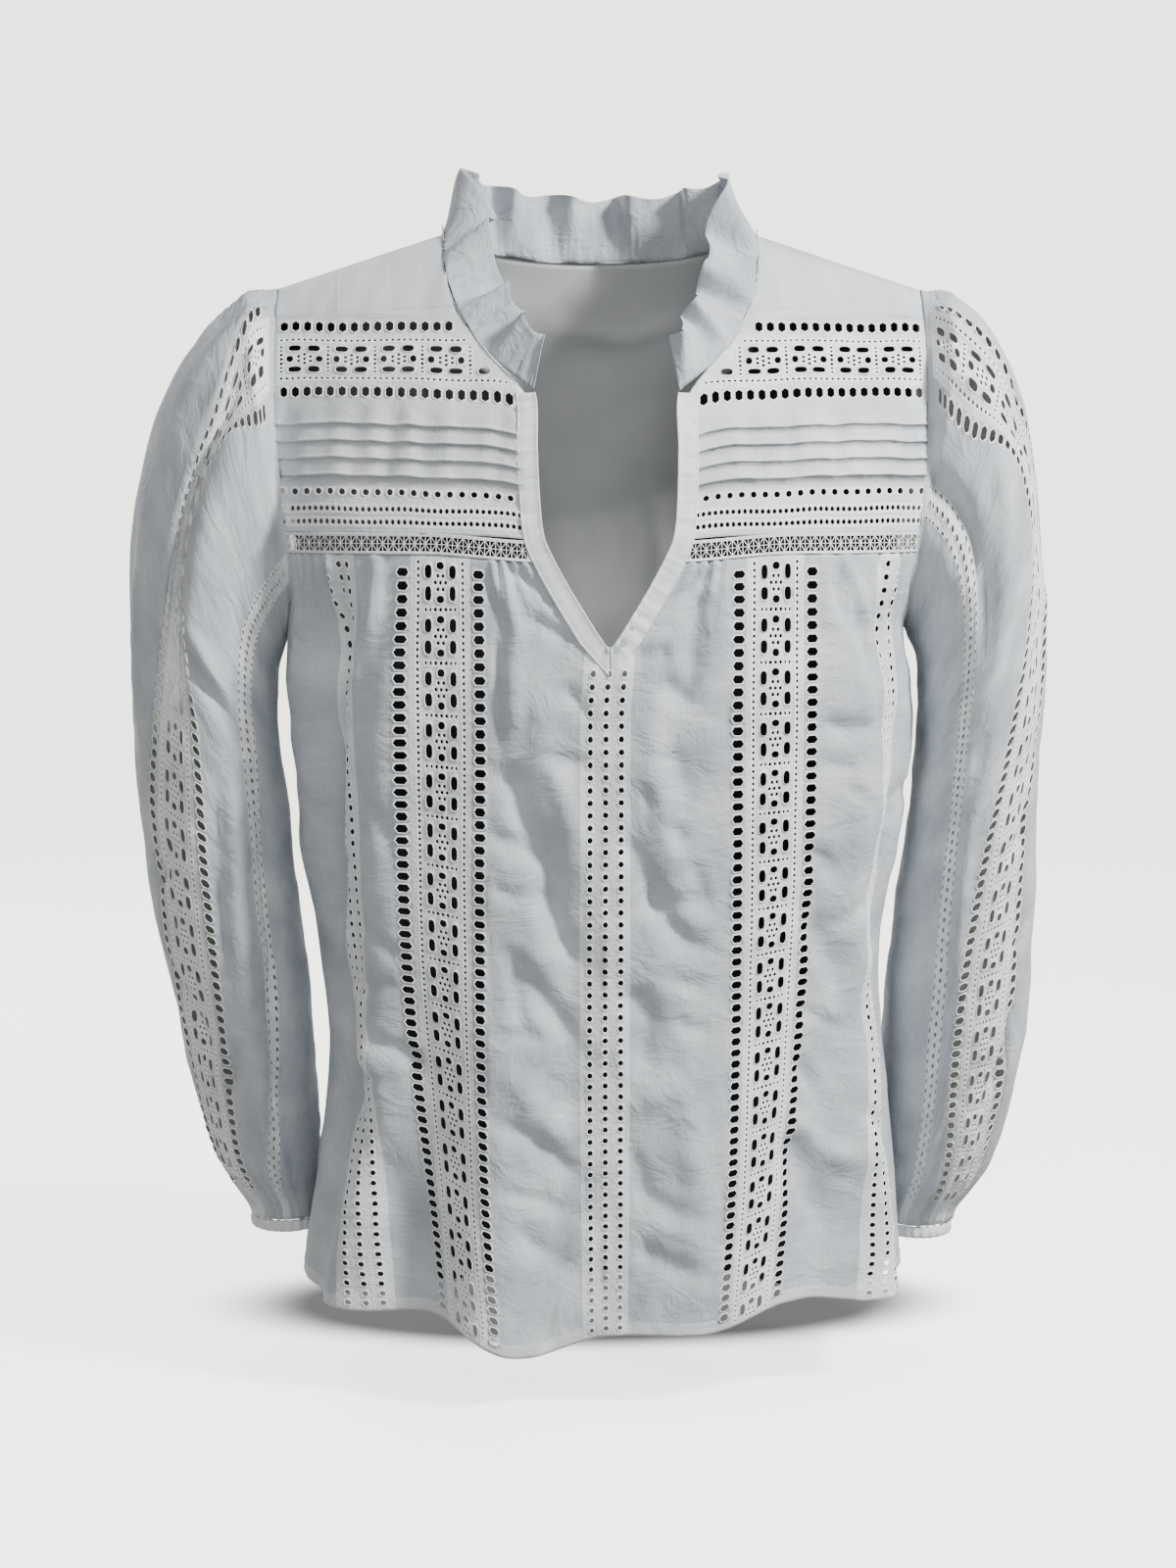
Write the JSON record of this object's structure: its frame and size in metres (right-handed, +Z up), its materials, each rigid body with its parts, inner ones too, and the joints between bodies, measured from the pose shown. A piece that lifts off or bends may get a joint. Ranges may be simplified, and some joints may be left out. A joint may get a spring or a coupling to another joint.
{
  "type": "eyelet blouse",
  "caption": "Filled-out cotton blouse: full gathered sleeves, cutwork bands, pintucked yokes, a gathered front and a ruffled split neck.",
  "frame": {"origin": "middle of the neck, level with the inner ends of the shoulder seams, where a wearer's shoulders hold the blouse up", "axes": "+Z up, the front faces -Y, and the wearer's left is +X"},
  "size_m": [0.5565, 0.249, 0.6997],
  "materials": {
    "voile": "matt woven cotton",
    "lace": "matt cotton lace",
    "trim": "matt woven cotton"
  },
  "bodies": {
    "root": {"front_panel": "voile", "back_panel": "voile", "yoke_left": "voile", "yoke_right": "voile", "sleeve_left": "voile", "sleeve_right": "voile", "lace_left": "lace", "lace_right": "lace", "cuff_left": "trim", "cuff_right": "trim", "neck_binding_left": "trim", "neck_binding_right": "trim", "neck_ruffle": "trim"}
  },
  "joints": []
}
